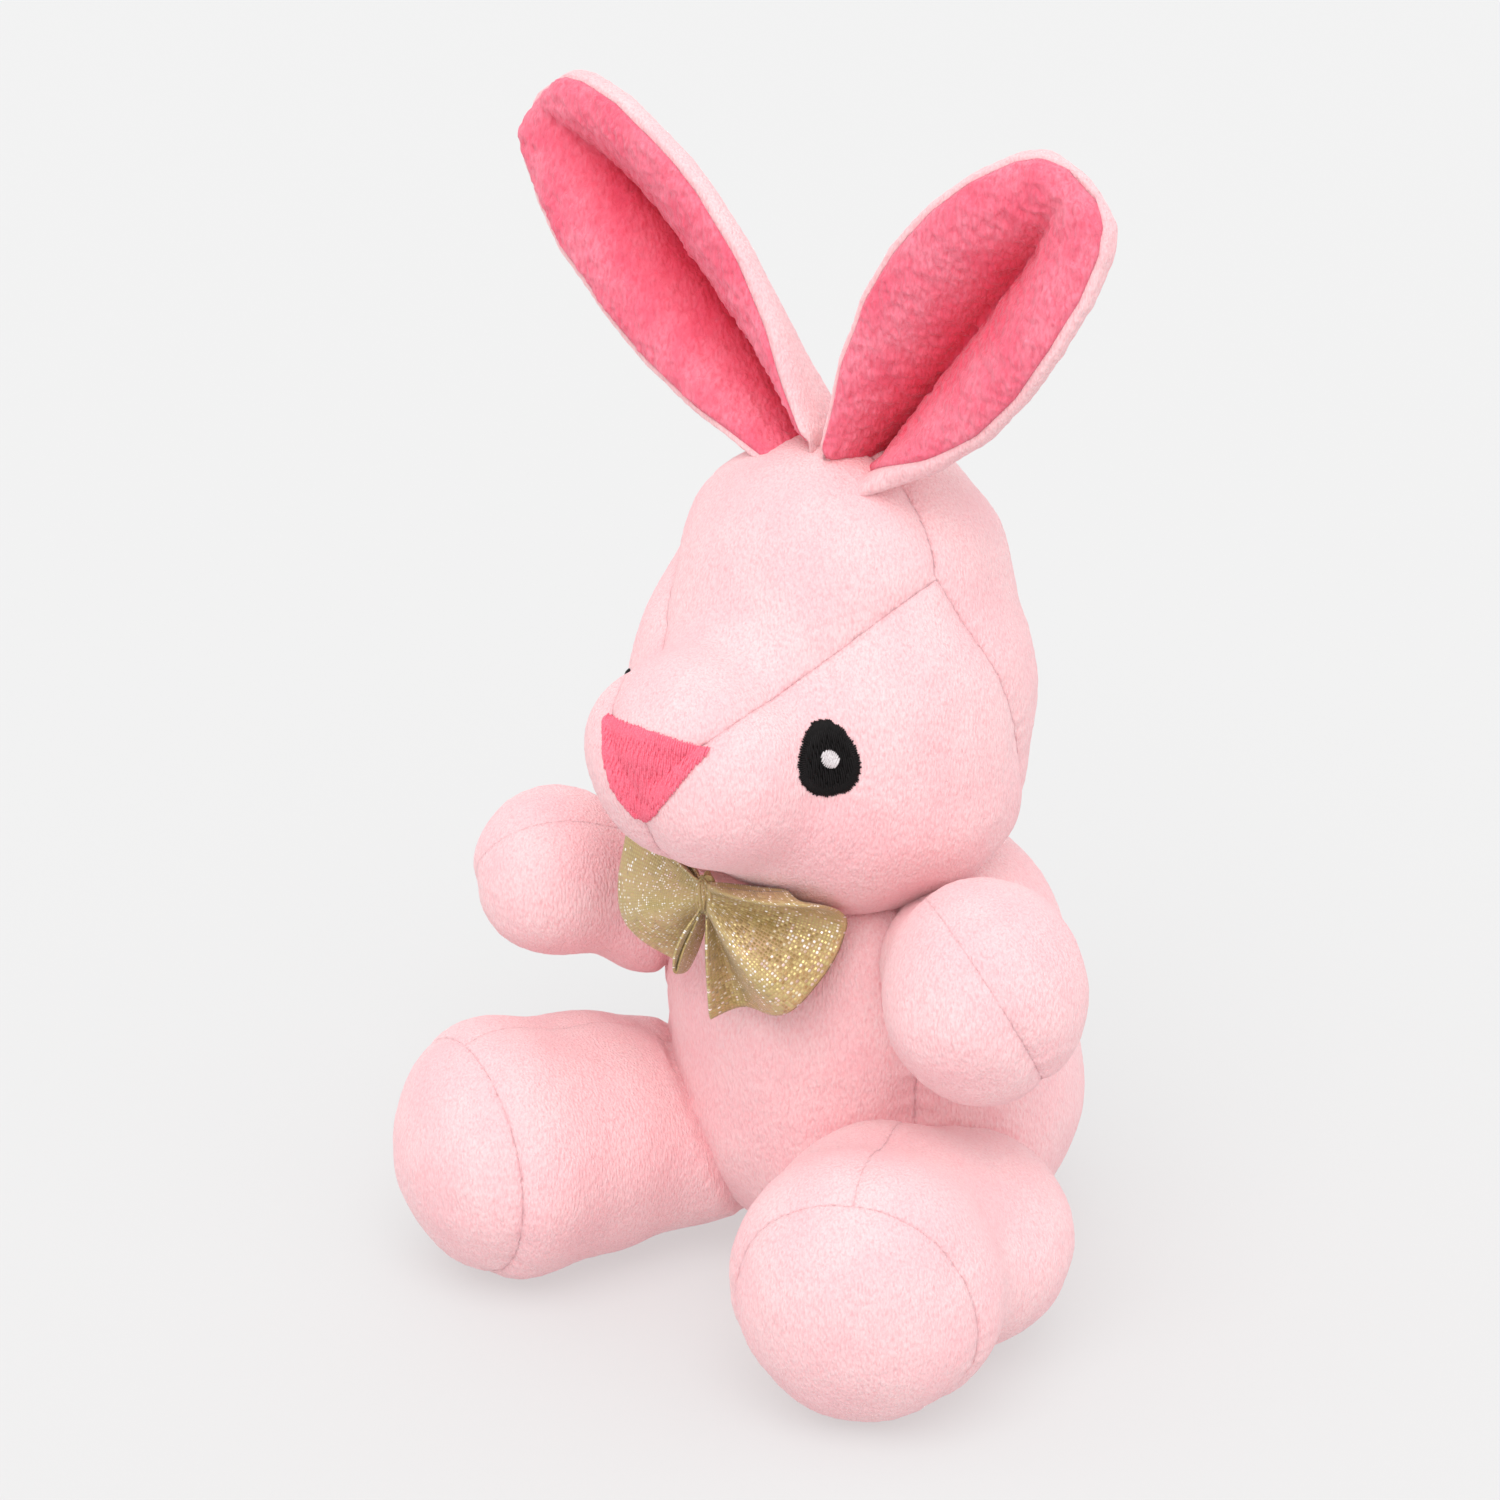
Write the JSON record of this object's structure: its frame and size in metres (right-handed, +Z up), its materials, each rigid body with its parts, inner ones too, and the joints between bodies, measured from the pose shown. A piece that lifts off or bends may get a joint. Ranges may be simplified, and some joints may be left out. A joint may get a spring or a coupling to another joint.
{
  "type": "stuffed rabbit toy",
  "caption": "Seated stuffed rabbit with long upright ears, embroidered nose and eyes, a folded fabric bow under the chin and jointed head, ears, arms and legs.",
  "frame": {"origin": "on the floor under the middle of the outline, between the front of the feet and the back of the tail", "axes": "+Z up, the rabbit faces -Y, +X towards its own left"},
  "size_m": [0.1417, 0.128, 0.232],
  "materials": {
    "pink_plush": "short velour pile",
    "rose_plush": "deep velour pile",
    "polyester_fibre": "loose polyester fibre",
    "ear_wadding": "needled wadding",
    "gold_glitter_fabric": "satin cloth with glitter dots",
    "pink_thread": "sewing thread",
    "rose_thread": "embroidery thread",
    "black_thread": "embroidery thread",
    "white_thread": "embroidery thread"
  },
  "bodies": {
    "torso": {"seat_panel": "pink_plush", "belly_panel": "pink_plush", "back_panel_left": "pink_plush", "back_panel_right": "pink_plush", "torso_stuffing": "polyester_fibre", "tail_cover": "pink_plush", "tail_stuffing": "polyester_fibre", "bow_wing_left": "gold_glitter_fabric", "bow_wing_right": "gold_glitter_fabric", "bow_pinch": "gold_glitter_fabric", "bow_tack": "pink_thread"},
    "neck": {"neck_stuffing": "polyester_fibre"},
    "head": {"forehead_gusset": "pink_plush", "head_side_left": "pink_plush", "head_side_right": "pink_plush", "head_back_left": "pink_plush", "head_back_right": "pink_plush", "head_stuffing": "polyester_fibre", "nose_embroidery": "rose_thread", "eye_left": "black_thread", "eye_highlight_left": "white_thread", "eye_right": "black_thread", "eye_highlight_right": "white_thread"},
    "ear_left": {"ear_outer_left": "pink_plush", "ear_padding_left": "ear_wadding", "ear_inner_left": "rose_plush"},
    "ear_right": {"ear_outer_right": "pink_plush", "ear_padding_right": "ear_wadding", "ear_inner_right": "rose_plush"},
    "arm_left": {"arm_outer_left": "pink_plush", "arm_inner_left": "pink_plush", "arm_stuffing_left": "polyester_fibre"},
    "arm_right": {"arm_outer_right": "pink_plush", "arm_inner_right": "pink_plush", "arm_stuffing_right": "polyester_fibre"},
    "leg_left": {"leg_outer_left": "pink_plush", "leg_inner_left": "pink_plush", "foot_sole_left": "pink_plush", "leg_stuffing_left": "polyester_fibre"},
    "leg_right": {"leg_outer_right": "pink_plush", "leg_inner_right": "pink_plush", "foot_sole_right": "pink_plush", "leg_stuffing_right": "polyester_fibre"}
  },
  "joints": [
    {"name": "neck_turn", "type": "hinge", "parent": "torso", "child": "neck", "pos_m": [0, 0.008, 0.084], "axis": [0, 0, 1], "range_deg": [-28, 28], "stiffness_Nm_per_rad": 0.15},
    {"name": "neck_nod", "type": "hinge", "parent": "neck", "child": "head", "pos_m": [0, 0.008, 0.084], "axis": [-1, 0, 0], "range_deg": [-3, 15], "stiffness_Nm_per_rad": 0.3},
    {"name": "ear_left_fold", "type": "hinge", "parent": "head", "child": "ear_left", "pos_m": [0.01655, 0.004, 0.17218], "axis": [0.8192, 0, -0.5736], "range_deg": [-45, 60], "stiffness_Nm_per_rad": 0.01},
    {"name": "ear_right_fold", "type": "hinge", "parent": "head", "child": "ear_right", "pos_m": [-0.01655, 0.004, 0.17218], "axis": [0.6691, 0, 0.7431], "range_deg": [-45, 60], "stiffness_Nm_per_rad": 0.01},
    {"name": "arm_left_swing", "type": "hinge", "parent": "torso", "child": "arm_left", "pos_m": [0.029, 0.004, 0.0725], "axis": [-0.6428, -0.766, 0], "range_deg": [-6, 18], "stiffness_Nm_per_rad": 0.05},
    {"name": "arm_right_swing", "type": "hinge", "parent": "torso", "child": "arm_right", "pos_m": [-0.029, 0.004, 0.0725], "axis": [-0.788, 0.6157, 0], "range_deg": [-6, 18], "stiffness_Nm_per_rad": 0.05},
    {"name": "leg_left_swing", "type": "hinge", "parent": "torso", "child": "leg_left", "pos_m": [0.024, 0.00623, 0.028], "axis": [-0.9063, -0.4226, 0], "range_deg": [-22, 7], "stiffness_Nm_per_rad": 0.08},
    {"name": "leg_right_swing", "type": "hinge", "parent": "torso", "child": "leg_right", "pos_m": [-0.024, 0.00623, 0.028], "axis": [-0.9063, 0.4226, 0], "range_deg": [-22, 7], "stiffness_Nm_per_rad": 0.08}
  ]
}
